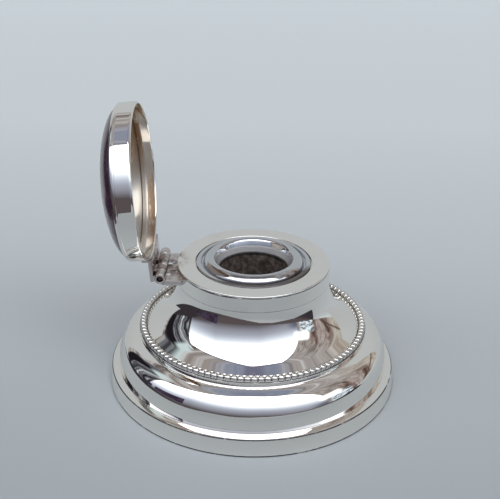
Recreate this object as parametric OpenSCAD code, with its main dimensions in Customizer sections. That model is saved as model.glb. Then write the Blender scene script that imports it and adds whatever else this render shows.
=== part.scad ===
// Capstan inkstand for a desk, in millimetres.
// A spun and pitch-loaded base with a beaded waist carries a collar. A moulded glass well
// hangs in the collar, and a hinged lid set with a polished dome closes over it.
// Origin: centre of the base on the table, +Z up. The hinge is on the -X side, pin along Y.
// The lid is drawn open, leaning back on its stop, and turns about the pin to close.

/* [Foot and lower body] */
// Diameter of the foot on the table
foot_d = 120; // [112:1:126]
// Height of the upright band round the foot
foot_band_h = 7.2; // [6:0.1:8.2]
// How much smaller the band's radius is at its top than at its bottom
foot_taper = 0.9; // [0.3:0.1:1.5]
// Width of the shoulder between the band and the ovolo
shoulder_w = 3.1; // [2.4:0.1:3.6]
// Radius of the tight curve where the shoulder meets the ovolo
shoulder_fillet = 0.5; // [0.4:0.1:0.9]
// Radius of the wider cove that runs from there to the edge of the shoulder
cove_r = 2.6; // [2:0.1:3]
// Height of the superellipse that the ovolo follows
ovolo_h = 14.5; // [14:0.1:15.2]
// Exponent of that superellipse: 2 is a plain ellipse, more is fuller
ovolo_power = 2.4; // [2:0.1:2.8]
// Thickness of the spun sheet
sheet_t = 0.8; // [0.6:0.1:1.2]

/* [Bead ring] */
// Radius of the circle of bead centres
bead_circle_r = 45.5; // [44.5:0.1:46.5]
// Number of beads
bead_count = 96; // [80:1:100]
// Radius of one bead
bead_r = 1.3; // [1:0.05:1.4]
// Height of the ledge that the bead strip lies on
ledge_z = 24.4; // [23.6:0.1:25.6]

/* [Waist and collar] */
// Height of the seam between the waist and the collar drum
seam_z = 45.5; // [43.5:0.5:46.5]
// Height of the collar plate's top face
collar_z = 52.2; // [51:0.1:54]
// Radius of the collar drum at the seam
drum_r = 31.3; // [30.8:0.1:32]
// Slope of the waist at the seam, in degrees from upright
waist_top_slope = 3; // [2:0.5:4]
// Slope of the waist where its curve tightens
waist_mid_slope = 31; // [28:1:34]
// Slope of the straight cone that the waist ends in
waist_foot_slope = 57; // [55:0.5:58]
// Length of that cone
waist_cone_l = 4.3; // [3.6:0.1:4.6]
// Radius of the collar plate
plate_r = 30.8; // [30:0.1:31]
// Radius of the hole for the glass
well_hole_r = 23.6; // [23:0.1:24.5]

/* [Glass well] */
// Gap round the glass flange
glass_gap = 0.4; // [0.2:0.1:0.8]
// Thickness of the glass flange
flange_t = 2.8; // [2:0.1:3.2]
// Radius of the well inside the glass
bore_r = 15.6; // [14:0.1:16.5]
// Height of the raised lip above the collar plate
lip_rise = 2.2; // [1.6:0.1:3]
// Outside length of the pot below its flange
pot_h = 29.4; // [24:0.2:32]

/* [Lid] */
// Outer radius of the lid band
lid_r = 31.1; // [31:0.1:31.6]
// Height of the lid band
lid_band_h = 6.4; // [6:0.1:7.2]
// Thickness of the lid band
lid_wall = 1; // [0.8:0.1:1.3]
// Depth from the lid's rim to its inner step
step_depth = 3.8; // [3:0.1:4.2]
// Rise of the dome above the band
dome_rise = 9.2; // [8:0.1:10]
// Thickness of the dome
dome_t = 1.8; // [1.2:0.1:2.4]
// Angle that the lid opens
open_angle = 94.7; // [85:0.1:100]

/* [Hinge] */
// Distance of the pin from the inkstand's axis
pin_x = 37; // [36.8:0.1:38.2]
// Height of the pin
pin_z = 49.3; // [48.8:0.1:49.4]
// Outer radius of the knuckles
knuckle_r = 2.2; // [2:0.05:2.3]
// Radius of the pin
pin_r = 1.3; // [1:0.05:1.4]
// Length of one of the five knuckles
knuckle_l = 5; // [4:0.1:5.5]
// Thickness of the lug and the leaf
leaf_t = 1.4; // [1:0.1:1.8]

/* [Hidden] */

$fn = 96;
eps = 0.01;

silver = [0.86, 0.86, 0.84];
gilt = [0.62, 0.53, 0.40];

// Foot
foot_r = foot_d / 2;
foot_top_r = foot_r - foot_taper;
foot_wall = 1;
foot_lip_w = 2.4;
foot_lip_t = 0.8;
board_t = 4;
baize_t = foot_lip_t;
board_top_z = foot_lip_t + board_t;

// Ovolo: a quarter superellipse, cut off where the riser to the bead ledge starts
edge_round = 0.2;
cove_steep = 38;
cove_flat = 3;
cove_rest = cove_r - shoulder_fillet;
shoulder_z = foot_band_h + edge_round + cove_r * cos(cove_flat) - cove_rest * cos(cove_steep);
shell_foot_z = foot_band_h + edge_round - sheet_t;
shell_foot_r = foot_top_r - foot_wall - 0.1;
ovolo_r = foot_top_r - shoulder_w;
ovolo_w = 12.3;
ovolo_cx = ovolo_r - ovolo_w;
riser_r = bead_circle_r + 1.5;
ovolo_end = acos(pow((riser_r - ovolo_cx) / ovolo_w, ovolo_power / 2));
curve_steps = 26;

// Waist: a long arc from the seam, a tighter arc and a straight cone that runs out to the
// beads. The two radii solve the two equations for the curve's width and height.
waist_foot_r = bead_circle_r - 1.5;
waist_foot_z = ledge_z + sheet_t;
waist_top_r = drum_r - 0.7;
arc_dr = cos(waist_top_slope) - cos(waist_mid_slope);
arc_dz = sin(waist_mid_slope) - sin(waist_top_slope);
sweep_dr = cos(waist_mid_slope) - cos(waist_foot_slope);
sweep_dz = sin(waist_foot_slope) - sin(waist_mid_slope);
waist_dr = waist_foot_r - waist_top_r - waist_cone_l * sin(waist_foot_slope);
waist_dz = seam_z - waist_foot_z - waist_cone_l * cos(waist_foot_slope);
arc_det = arc_dr * sweep_dz - sweep_dr * arc_dz;
arc_r = (waist_dr * sweep_dz - sweep_dr * waist_dz) / arc_det;
sweep_r = (arc_dr * waist_dz - arc_dz * waist_dr) / arc_det;
arc_cx = waist_top_r + arc_r * cos(waist_top_slope);
arc_cz = seam_z + arc_r * sin(waist_top_slope);
sweep_cx = arc_cx - (arc_r - sweep_r) * cos(waist_mid_slope);
sweep_cz = arc_cz - (arc_r - sweep_r) * sin(waist_mid_slope);

// Bead strip and the ledge under it
ledge_tuck = 2;
strip_gap = 0.1;
strip_t = 0.5;
bead_z = ledge_z + 0.95;

// Collar
drum_wall = 1;
plate_t = 0.8;
plate_edge = 0.3;
hole_flange_t = 0.8;
flange_r = well_hole_r - glass_gap;
seat_top_z = collar_z - flange_t;
seat_t = 0.8;
pot_r = 20.2;
seat_hole_r = pot_r + 0.5;

// Glass
glass_top_z = collar_z + lip_rise;
glass_foot_z = seat_top_z - pot_h;
glass_floor_t = 4;
lip_w = 2.4;
foot_round = 3.4;

// Filling: clear of the shells and of the glass
fill_gap = 0.15;
fill_top_z = seam_z - 1;
fill_waist_r = waist_foot_r - ledge_tuck - 2 * fill_gap;
pocket_r = pot_r + 0.8;
pocket_z = glass_foot_z - 0.6;

// Lid, drawn closed about the inkstand's own axis and then turned open
lid_gap = 0.15;
rim_z = collar_z + lid_gap;
lid_in_r = lid_r - lid_wall;
step_w = 1.2;
lining_t = 0.5;
lining_rise = 3;
band_top_z = rim_z + lid_band_h;
lining_z = band_top_z - 0.3 - lining_t;
dome_r = lid_in_r + 0.1;
bezel_h = 1.6;
bezel_w = 0.85;
rim_round = 1.1;
rim_nose = lid_wall - 0.15;

// Hinge
hinge_w = 5 * knuckle_l;
knuckle_gap = 0.15;
pin_clearance = 0.06;
pin_grip = 0.01;
pin_setback = 1.5;
lug_t = 2;
lug_top_z = pin_z - 0.6;
lug_slot = 1.6;
lug_reach = 3.2;
leaf_lift = 0.2;
leaf_reach = 1;
leaf_tab_h = 3.2;

// Points along part of an ellipse, from angle a0 to angle a1
function ellipse_arc(cx, cz, rx, rz, a0, a1, n = curve_steps) =
    [for (i = [0:n]) let (a = a0 + (a1 - a0) * i / n) [cx + rx * cos(a), cz + rz * sin(a)]];

// The same points from last to first
function backwards(points) = [for (i = [len(points) - 1:-1:0]) points[i]];

// The ovolo at a depth t below the outer surface, from its foot to the riser
function ovolo(t) =
    [for (i = [0:curve_steps]) let (a = ovolo_end * i / curve_steps, e = 2 / ovolo_power)
        [ovolo_cx + (ovolo_w - t) * pow(cos(a), e), shoulder_z + (ovolo_h - t) * pow(sin(a), e)]];

// The waist at a depth t below the outer surface, from the cone's foot at height z to the seam
function waist(t, z) =
    let (down = (waist_foot_z - t * sin(waist_foot_slope) - z) / cos(waist_foot_slope))
    concat(
        [[waist_foot_r - t * cos(waist_foot_slope) + down * sin(waist_foot_slope), z]],
        ellipse_arc(sweep_cx, sweep_cz, -sweep_r - t, -sweep_r - t,
                    waist_foot_slope, waist_mid_slope, 13),
        ellipse_arc(arc_cx, arc_cz, -arc_r - t, -arc_r - t,
                    waist_mid_slope - 2, waist_top_slope, 13));

// Radius of the dome at a height h above its edge
function dome_at(h) = dome_r * sqrt(1 - pow(h / dome_rise, 2));

// A full dome over radius r, upright at its edge, from the edge to the axis
function dome_curve(r, z, rise) = ellipse_arc(0, z, r, rise, 0, 90);

// A shallow cap of a sphere over radius r, from its edge to the axis
function cap_curve(r, z, rise) =
    let (ball_r = (r * r + rise * rise) / (2 * rise), edge = asin((ball_r - rise) / ball_r))
    ellipse_arc(0, z + rise - ball_r, ball_r, ball_r, edge, 90, 10);

// A closed profile turned about the inkstand's axis
module turned(profile) {
    rotate_extrude() polygon(profile);
}

// Places what is drawn on a closed lid as it stands with the lid open
module opened() {
    translate([-pin_x, 0, pin_z])
        rotate([0, -open_angle, 0])
            translate([pin_x, 0, -pin_z]) children();
}

// A cylinder about the hinge axis, from y0 to y1
module on_pin(r, y0, y1) {
    translate([-pin_x, y0, pin_z]) rotate([-90, 0, 0]) cylinder(r = r, h = y1 - y0);
}

// Knuckle number i of five, counted from the near end, with a hole of radius hole_r
module knuckle(i, hole_r) {
    y0 = -hinge_w / 2 + i * knuckle_l + (i == 0 ? 0 : knuckle_gap / 2);
    y1 = -hinge_w / 2 + (i + 1) * knuckle_l - (i == 4 ? 0 : knuckle_gap / 2);
    difference() {
        on_pin(knuckle_r, y0, y1);
        on_pin(hole_r, y0 - 1, y1 + 1);
    }
}

// A bar behind the given knuckles: x0 to x1 and z0 to z1 are measured from the pin
module knuckle_bars(numbers, x0, x1, z0, z1) {
    for (i = numbers)
        translate([-pin_x + x0, -hinge_w / 2 + i * knuckle_l + knuckle_gap, pin_z + z0])
            cube([x1 - x0, knuckle_l - 2 * knuckle_gap, z1 - z0]);
}

module foot_band() {
    color(silver) turned([
        [foot_r - foot_lip_w, 0], [foot_r - 0.2, 0], [foot_r, 0.25],
        [foot_top_r + 0.05, foot_band_h - 0.2], [foot_top_r - 0.2, foot_band_h],
        [foot_top_r - foot_wall, foot_band_h], [foot_r - foot_wall - 0.1, foot_lip_t],
        [foot_r - foot_lip_w, foot_lip_t]]);
}

module base_shell() {
    color(silver) turned(concat(
        [[foot_top_r - edge_round, foot_band_h],
         [foot_top_r - 2 * edge_round, foot_band_h + edge_round]],
        ellipse_arc(ovolo_r + shoulder_fillet + cove_rest * sin(cove_steep),
                    shoulder_z + cove_rest * cos(cove_steep), cove_r, cove_r,
                    270 - cove_flat, 275 - cove_steep, 6),
        ellipse_arc(ovolo_r + shoulder_fillet, shoulder_z, shoulder_fillet, shoulder_fillet,
                    270 - cove_steep, 190, 4),
        ovolo(0),
        [[riser_r, ledge_z - edge_round], [riser_r - edge_round, ledge_z],
         [waist_foot_r - ledge_tuck, ledge_z], [waist_foot_r - ledge_tuck, ledge_z - sheet_t],
         [riser_r - sheet_t, ledge_z - sheet_t]],
        backwards(ovolo(sheet_t)),
        [[ovolo_r - sheet_t, shell_foot_z], [shell_foot_r, shell_foot_z],
         [shell_foot_r, foot_band_h]]));
}

module bead_ring() {
    strip_in_r = waist_foot_r + strip_gap;
    strip_out_r = riser_r - edge_round;
    color(silver) difference() {
        union() {
            turned([[strip_in_r, ledge_z], [strip_out_r, ledge_z],
                    [strip_out_r, ledge_z + strip_t], [strip_in_r, ledge_z + strip_t]]);
            for (i = [0:bead_count - 1])
                rotate([0, 0, 360 * (i + 0.5) / bead_count])
                    translate([bead_circle_r, 0, bead_z]) sphere(r = bead_r, $fn = 24);
        }
        cylinder(r = riser_r + 1, h = ledge_z);
    }
}

module waist_shell() {
    color(silver) turned(concat(
        [[waist_foot_r, ledge_z]], waist(0, waist_foot_z), [[waist_top_r - sheet_t, seam_z]],
        backwards(waist(sheet_t, ledge_z))));
}

module collar_drum() {
    top = collar_z - plate_t;
    color(silver) turned([[drum_r - drum_wall, seam_z], [drum_r, seam_z], [plate_r, top],
                          [plate_r - drum_wall, top]]);
}

module collar_plate() {
    flange_out_r = well_hole_r + hole_flange_t;
    flange_foot_z = seat_top_z - seat_t;
    color(silver) turned([
        [well_hole_r, flange_foot_z], [flange_out_r, flange_foot_z],
        [flange_out_r, collar_z - plate_t], [plate_r, collar_z - plate_t],
        [plate_r, collar_z - plate_edge], [plate_r - plate_edge, collar_z],
        [well_hole_r + plate_edge, collar_z], [well_hole_r, collar_z - plate_edge]]);
}

module liner_seat() {
    color(silver) turned([[seat_hole_r, seat_top_z - seat_t], [well_hole_r, seat_top_z - seat_t],
                          [well_hole_r, seat_top_z], [seat_hole_r, seat_top_z]]);
}

module base_filling() {
    inset = sheet_t + fill_gap;
    foot_fill_r = foot_top_r - foot_wall - 0.4;
    foot_fill_z = shell_foot_z - fill_gap;
    color([0.16, 0.10, 0.06]) turned(concat(
        [[0, board_top_z], [foot_fill_r, board_top_z], [foot_fill_r, foot_fill_z],
         [ovolo_r - inset, foot_fill_z]],
        ovolo(inset),
        [[fill_waist_r, ledge_z - sheet_t - 2 * fill_gap]],
        [for (p = waist(inset, ledge_z)) if (p[1] < fill_top_z && p[0] < fill_waist_r) p],
        [[waist_top_r - inset, fill_top_z], [pocket_r, fill_top_z],
         [pocket_r, pocket_z], [0, pocket_z]]));
}

module base_board() {
    color([0.45, 0.30, 0.18]) turned([
        [0, foot_lip_t], [foot_r - foot_wall - 0.6, foot_lip_t],
        [foot_r - foot_wall - 0.6, board_top_z - 0.6], [foot_r - foot_wall - 1.2, board_top_z],
        [0, board_top_z]]);
}

module base_baize() {
    color([0.10, 0.26, 0.16]) cylinder(r = foot_r - foot_lip_w - 0.2, h = baize_t);
}

module hinge_lug() {
    color(silver) difference() {
        union() {
            translate([-pin_x + knuckle_r + lug_slot, -hinge_w / 2, lug_top_z - lug_t])
                cube([pin_x - knuckle_r - lug_slot - drum_r + lug_reach, hinge_w, lug_t]);
            knuckle_bars([0, 2, 4], 0.6, knuckle_r + lug_slot + eps, lug_top_z - lug_t - pin_z,
                         lug_top_z - pin_z);
        }
        on_pin(knuckle_r, -hinge_w, hinge_w);
        turned([[0, 0], [0, collar_z], [plate_r - 0.1, collar_z],
                [plate_r, collar_z - plate_t], [drum_r, seam_z], [drum_r, 0]]);
    }
}

module body_knuckle_near() {
    color(silver) knuckle(0, pin_r + pin_grip);
}

module body_knuckle_middle() {
    color(silver) knuckle(2, pin_r + pin_grip);
}

module body_knuckle_far() {
    color(silver) knuckle(4, pin_r + pin_grip);
}

module hinge_pin() {
    half = hinge_w / 2 - pin_setback;
    color([0.55, 0.52, 0.48]) on_pin(pin_r, -half, half);
}

module glass_liner() {
    lip_out_r = bore_r + lip_w;
    floor_z = glass_foot_z + glass_floor_t;
    color([0.80, 0.86, 0.88, 0.5]) turned(concat(
        [[0, glass_foot_z]],
        ellipse_arc(pot_r - foot_round, glass_foot_z + foot_round, foot_round, foot_round,
                    270, 360, 6),
        [[pot_r, seat_top_z], [flange_r, seat_top_z], [flange_r, collar_z - 0.5]],
        ellipse_arc(flange_r - 0.7, collar_z - 0.5, 0.7, 0.7, 15, 80, 5),
        [[lip_out_r + 0.5, collar_z + 0.55], [lip_out_r, collar_z + 1]],
        ellipse_arc(bore_r + lip_w / 2, glass_top_z - lip_w / 2, lip_w / 2, lip_w / 2, 0, 180, 12),
        ellipse_arc(bore_r - foot_round, floor_z + foot_round, foot_round, foot_round,
                    0, -90, 6),
        [[0, floor_z]]));
}

module lid_leaf() {
    leaf_z = pin_z + knuckle_r + leaf_lift;
    color(silver) opened() difference() {
        union() {
            translate([-pin_x - leaf_reach, -hinge_w / 2, leaf_z])
                cube([pin_x - lid_r + leaf_reach + 4, hinge_w, leaf_t]);
            knuckle_bars([1, 3], -leaf_reach, leaf_reach + 0.4, 1, knuckle_r + leaf_lift + eps);
            intersection() {
                translate([-lid_r - 2, -hinge_w / 2, leaf_z])
                    cube([8, hinge_w, rim_z - leaf_z + leaf_tab_h]);
                cylinder(r = lid_r + 0.8, h = band_top_z);
            }
        }
        on_pin(knuckle_r, -hinge_w, hinge_w);
        translate([0, 0, leaf_z - 1]) cylinder(r = lid_r, h = band_top_z);
    }
}

module lid_knuckle_near() {
    color(silver) opened() knuckle(1, pin_r + pin_clearance);
}

module lid_knuckle_far() {
    color(silver) opened() knuckle(3, pin_r + pin_clearance);
}

module lid_band() {
    color(silver) opened() turned(concat(
        ellipse_arc(lid_r - rim_nose, rim_z + rim_round, rim_nose, rim_round, -90, 0, 8),
        [[lid_r, band_top_z], [lid_in_r, band_top_z], [lid_in_r, rim_z + lid_wall - rim_nose]]));
}

module lid_seat_ring() {
    inner_r = lid_in_r - step_w;
    step_z = rim_z + step_depth;
    color(gilt) opened() turned([
        [inner_r, step_z + edge_round], [inner_r + edge_round, step_z],
        [lid_in_r, step_z], [lid_in_r, lining_z], [inner_r, lining_z]]);
}

module lid_lining() {
    r = lid_in_r - 0.1;
    color(gilt) opened() turned(concat(
        cap_curve(r, lining_z + lining_t, lining_rise),
        backwards(cap_curve(r, lining_z, lining_rise))));
}

module dome_bed() {
    r = lid_in_r - 0.1;
    color([0.16, 0.10, 0.06]) opened() turned(concat(
        backwards(cap_curve(r, lining_z + lining_t, lining_rise)),
        [[r, band_top_z]],
        dome_curve(dome_r - dome_t, band_top_z, dome_rise - dome_t)));
}

module lid_dome() {
    color([0.22, 0.12, 0.20]) opened() turned(concat(
        dome_curve(dome_r, band_top_z, dome_rise),
        backwards(dome_curve(dome_r - dome_t, band_top_z, dome_rise - dome_t))));
}

module dome_bezel() {
    outer_r = lid_r - 0.05;
    color(silver) opened() turned(concat(
        ellipse_arc(outer_r - bezel_w, band_top_z, bezel_w, bezel_h, 0, 75, 8),
        [for (i = [3:-1:0]) let (h = bezel_h * i / 3) [dome_at(h) + 0.05, band_top_z + h]]));
}

foot_band();
base_shell();
bead_ring();
waist_shell();
collar_drum();
collar_plate();
liner_seat();
base_filling();
base_board();
base_baize();
hinge_lug();
body_knuckle_near();
body_knuckle_middle();
body_knuckle_far();
hinge_pin();
glass_liner();
lid_leaf();
lid_knuckle_near();
lid_knuckle_far();
lid_band();
lid_seat_ring();
lid_lining();
dome_bed();
lid_dome();
dome_bezel();
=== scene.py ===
"""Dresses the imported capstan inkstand: spun silver, a moulded glass, a hinged lid and baize."""

import logging
import math
from collections.abc import Callable
from dataclasses import dataclass
from enum import Enum

import bmesh
import bpy
import numpy as np
from mathutils import Matrix


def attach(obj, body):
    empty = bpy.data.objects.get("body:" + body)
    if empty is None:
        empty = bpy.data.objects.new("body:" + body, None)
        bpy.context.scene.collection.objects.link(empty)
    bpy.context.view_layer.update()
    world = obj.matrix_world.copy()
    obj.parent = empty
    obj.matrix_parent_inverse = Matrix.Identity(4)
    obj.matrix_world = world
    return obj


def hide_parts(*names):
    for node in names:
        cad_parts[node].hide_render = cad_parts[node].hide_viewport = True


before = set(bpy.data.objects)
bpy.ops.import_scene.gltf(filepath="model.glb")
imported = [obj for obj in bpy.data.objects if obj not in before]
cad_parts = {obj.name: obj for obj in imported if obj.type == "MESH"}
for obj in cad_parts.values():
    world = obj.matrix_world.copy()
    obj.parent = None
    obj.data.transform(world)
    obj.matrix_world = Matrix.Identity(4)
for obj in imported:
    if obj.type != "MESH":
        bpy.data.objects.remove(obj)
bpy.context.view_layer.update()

log = logging.getLogger("inkstand")

MM = 0.001  # metres in a millimetre
SEGMENTS = 288  # steps round a turned piece
Points = np.ndarray
Colour = tuple[float, float, float]


# ---------------------------------------------------------------- surfaces


def arc(
    centre: tuple[float, float],
    radii: tuple[float, float],
    start: float,
    end: float,
    steps: int = 12,
) -> Points:
    """Points on an ellipse: centre + (rx cos a, ry sin a), with a going evenly from start to end.

    Args:
        centre: Centre of the ellipse, in millimetres.
        radii: Its two radii, in millimetres.
        start: First angle, in degrees.
        end: Last angle, in degrees.
        steps: Number of intervals between the first point and the last.

    Returns:
        An array of steps + 1 points.
    """
    a = np.radians(np.linspace(start, end, steps + 1))
    return np.column_stack([centre[0] + radii[0] * np.cos(a), centre[1] + radii[1] * np.sin(a)])


def outline(*parts: Points | list[tuple[float, float]]) -> Points:
    """Joins runs of points into one outline."""
    return np.concatenate([np.asarray(p, float) for p in parts])


def softened(corners: Points, radius: float | Points, steps: int = 4) -> Points:
    """Rounds the corners of a closed outline.

    A corner becomes an arc that touches both of its sides. With h half the corner's angle, the arc
    starts radius / tan h along each side, and its centre is radius / sin h from the corner.

    Args:
        corners: The outline's corners in order.
        radius: Radius of every corner, or one for each.
        steps: Intervals in each arc.

    Returns:
        The rounded outline, without repeated points.
    """
    before, after = np.roll(corners, 1, 0) - corners, np.roll(corners, -1, 0) - corners
    len_a, len_b = np.linalg.norm(before, axis=1), np.linalg.norm(after, axis=1)
    a, b = before / len_a[:, None], after / len_b[:, None]
    half = np.arccos(np.clip((a * b).sum(1), -1, 1)) / 2
    # An arc takes at most 0.45 of a side, so that two arcs never meet on it.
    reach = np.minimum(np.asarray(radius) / np.tan(half), 0.45 * np.minimum(len_a, len_b))
    away = (a + b) / np.maximum(np.linalg.norm(a + b, axis=1), 1e-9)[:, None]
    middle = corners + away * (reach / np.cos(half))[:, None]
    turn = np.maximum(math.pi - 2 * half, 1e-6)
    u = np.linspace(0, 1, steps + 1)[None, :]
    w0 = np.sin((1 - u) * turn[:, None]) / np.sin(turn)[:, None]
    w1 = np.sin(u * turn[:, None]) / np.sin(turn)[:, None]
    first, last = corners + a * reach[:, None] - middle, corners + b * reach[:, None] - middle
    arcs = middle[:, None] + w0[..., None] * first[:, None] + w1[..., None] * last[:, None]
    # Where half the angle is nearly a right angle, there is no corner to round.
    flat = (half > 1.55)[:, None, None]
    arcs = np.where(flat, corners[:, None], arcs).reshape(-1, 2)
    return arcs[np.linalg.norm(arcs - np.roll(arcs, -1, 0), axis=1) > 1e-5]


def filled_in(points: Points, step: float) -> Points:
    """Adds points along the long sides of a closed outline, so that shading stays true there.

    Args:
        points: The outline in order.
        step: Longest side that is left, in millimetres.

    Returns:
        The outline with each side cut into equal lengths.
    """
    sides = np.roll(points, -1, 0) - points
    count = np.maximum(np.ceil(np.linalg.norm(sides, axis=1) / step).astype(int), 1)
    which = np.repeat(np.arange(len(points)), count)
    along = (np.arange(count.sum()) - np.repeat(np.cumsum(count) - count, count)) / count[which]
    return points[which] + sides[which] * along[:, None]


class Axis(Enum):
    """The axis that a piece is turned about."""

    STAND = "stand"
    LID = "lid"
    PIN = "pin"


@dataclass(frozen=True)
class Layout:
    """What several sub-assemblies share, in millimetres and degrees."""

    pin_x: float = 37.0
    pin_z: float = 49.3
    open_angle: float = 94.7
    foot_band_h: float = 7.2
    foot_top_r: float = 59.1
    sheet_t: float = 0.8
    bead_circle_r: float = 45.5
    bead_count: int = 112
    ledge_z: float = 24.4
    seam_z: float = 45.5
    collar_z: float = 52.2
    drum_r: float = 31.3
    plate_r: float = 30.8
    well_hole_r: float = 23.6
    flange_t: float = 2.8

    def opened(self, points: Points) -> Points:
        """Turns points of the closed lid about the pin to where the open lid has them.

        With (x, z) measured from the pin and t the opening angle, the new place is
        (x cos t - z sin t, x sin t + z cos t).

        Args:
            points: Array of points whose last axis is x, y, z.

        Returns:
            The turned points.
        """
        t = math.radians(self.open_angle)
        x, z = points[..., 0] + self.pin_x, points[..., 2] - self.pin_z
        turned_x = x * math.cos(t) - z * math.sin(t) - self.pin_x
        turned_z = x * math.sin(t) + z * math.cos(t) + self.pin_z
        return np.stack([turned_x, points[..., 1], turned_z], -1)

    def set_on(self, axis: Axis, grid: Points) -> Points:
        """Moves a shape that was turned about Z to the axis it belongs to.

        Args:
            axis: The stand's axis, the lid's axis with the lid open, or the hinge pin.
            grid: Points of the shape, with the axis along Z.

        Returns:
            The points in place.
        """
        if axis is Axis.LID:
            return self.opened(grid)
        if axis is Axis.PIN:
            return np.stack(
                [grid[..., 0] - self.pin_x, grid[..., 2], self.pin_z - grid[..., 1]], -1
            )
        return grid


LAYOUT = Layout()
Shell = tuple[Points, list[list[int]]]


def shell(grid: Points) -> Shell:
    """Makes a closed surface from a grid of points, and turns its faces outwards.

    The last row joins the first, and so does the last column. Neighbouring grid points make a
    four-sided face. Points that coincide, as at a pole, become one, and a face that loses a corner
    becomes a triangle. The signed volume, the sum over triangles of p0 . (p1 x p2) / 6, says
    whether the faces have to be turned round.

    Args:
        grid: Points in millimetres, shaped (rows, columns, 3).

    Returns:
        The vertices in metres and the faces.
    """
    grid = np.concatenate([grid, grid[:1]], 0)
    grid = np.concatenate([grid, grid[:, :1]], 1)
    _, first, index = np.unique(
        np.round(grid.reshape(-1, 3), 5), axis=0, return_index=True, return_inverse=True
    )
    vertices = grid.reshape(-1, 3)[first] * MM
    ids = index.reshape(grid.shape[:2])
    quads = np.stack([ids[:-1, :-1], ids[1:, :-1], ids[1:, 1:], ids[:-1, 1:]], -1).reshape(-1, 4)
    differs = quads != np.roll(quads, -1, 1)
    sides = differs.sum(1)
    whole = quads[sides == 4]
    thin = quads[sides == 3][differs[sides == 3]].reshape(-1, 3)
    halves = np.concatenate([whole[:, [0, 1, 2]], whole[:, [0, 2, 3]], thin])
    p = vertices[halves]
    if np.einsum("ij,ij->", p[:, 0], np.cross(p[:, 1], p[:, 2])) < 0:
        whole, thin = whole[:, ::-1], thin[:, ::-1]
    return vertices, whole.tolist() + thin.tolist()


def turned(
    profile: Points, axis: Axis = Axis.STAND, segments: int = SEGMENTS, dents: Points | None = None
) -> Shell:
    """Turns an outline of (radius, height) points about an axis: x = r cos a, y = r sin a, z = h.

    Args:
        profile: The closed outline, in millimetres.
        axis: The axis that the shape belongs to.
        segments: Number of steps round the axis.
        dents: Rows of (angle, height, depth, width round, width up). Each takes
            depth exp(-(da / width)^2 - (dz / width)^2) off the radius.

    Returns:
        The vertices in metres and the faces.
    """
    a = np.arange(segments) * 2 * math.pi / segments
    r, z = profile[:, 0, None], profile[:, 1, None] + 0 * a
    for angle, height, depth, wide, high in [] if dents is None else dents:
        off = (a - math.radians(angle) + math.pi) % (2 * math.pi) - math.pi
        r = r - depth * np.exp(-((off * r / wide) ** 2) - ((z - height) / high) ** 2)
    grid = np.stack([r * np.cos(a), r * np.sin(a), z], -1)
    return shell(LAYOUT.set_on(axis, grid))


def joined(*shells: Shell) -> Shell:
    """Puts several closed surfaces into one mesh."""
    vertices: list[Points] = []
    faces: list[list[int]] = []
    start = 0
    for points, sides in shells:
        vertices.append(points)
        faces += [[i + start for i in side] for side in sides]
        start += len(points)
    return np.concatenate(vertices), faces


# ---------------------------------------------------------------- shader maths


class Value:
    """A socket of a node tree, on which arithmetic adds Math nodes."""

    def __init__(self, graph: "Graph", socket: bpy.types.NodeSocket) -> None:
        """Keeps the socket and the graph that it belongs to."""
        self.graph = graph
        self.socket = socket

    def _maths(self, operation: str, *values: "Value | float") -> "Value":
        """Adds one Math node to the graph."""
        inputs = dict(enumerate(values))
        return self.graph.node("ShaderNodeMath", {"operation": operation}, inputs)

    def __add__(self, other: "Value | float") -> "Value":
        """self + other."""
        return self._maths("ADD", self, other)

    __radd__ = __add__

    def __sub__(self, other: "Value | float") -> "Value":
        """self - other."""
        return self._maths("SUBTRACT", self, other)

    def __rsub__(self, other: "Value | float") -> "Value":
        """other - self."""
        return self._maths("SUBTRACT", other, self)

    def __mul__(self, other: "Value | float") -> "Value":
        """self x other."""
        return self._maths("MULTIPLY", self, other)

    __rmul__ = __mul__

    def __truediv__(self, other: "Value | float") -> "Value":
        """self / other."""
        return self._maths("DIVIDE", self, other)

    def __pow__(self, other: "Value | float") -> "Value":
        """self to the power of other."""
        return self._maths("POWER", self, other)

    def __abs__(self) -> "Value":
        """self without its sign."""
        return self._maths("ABSOLUTE", self)

    def least(self, other: "Value | float") -> "Value":
        """The smaller of the two."""
        return self._maths("MINIMUM", self, other)

    def most(self, other: "Value | float") -> "Value":
        """The larger of the two."""
        return self._maths("MAXIMUM", self, other)

    def fraction(self) -> "Value":
        """What is left after the whole number."""
        return self._maths("FRACT", self)

    def rises(self, low: "Value | float", high: "Value | float") -> "Value":
        """0 below low, 1 above high and a smooth step between."""
        inputs = {"Value": self, "From Min": low, "From Max": high}
        return self.graph.node("ShaderNodeMapRange", {"interpolation_type": "SMOOTHSTEP"}, inputs)

    def within(self, low: float, high: float, soft: float) -> "Value":
        """1 between low and high, and 0 outside, with edges that spread soft to each side."""
        inside = self.rises(low - soft, low + soft)
        return inside * (1 - self.rises(high - soft, high + soft))


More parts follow.
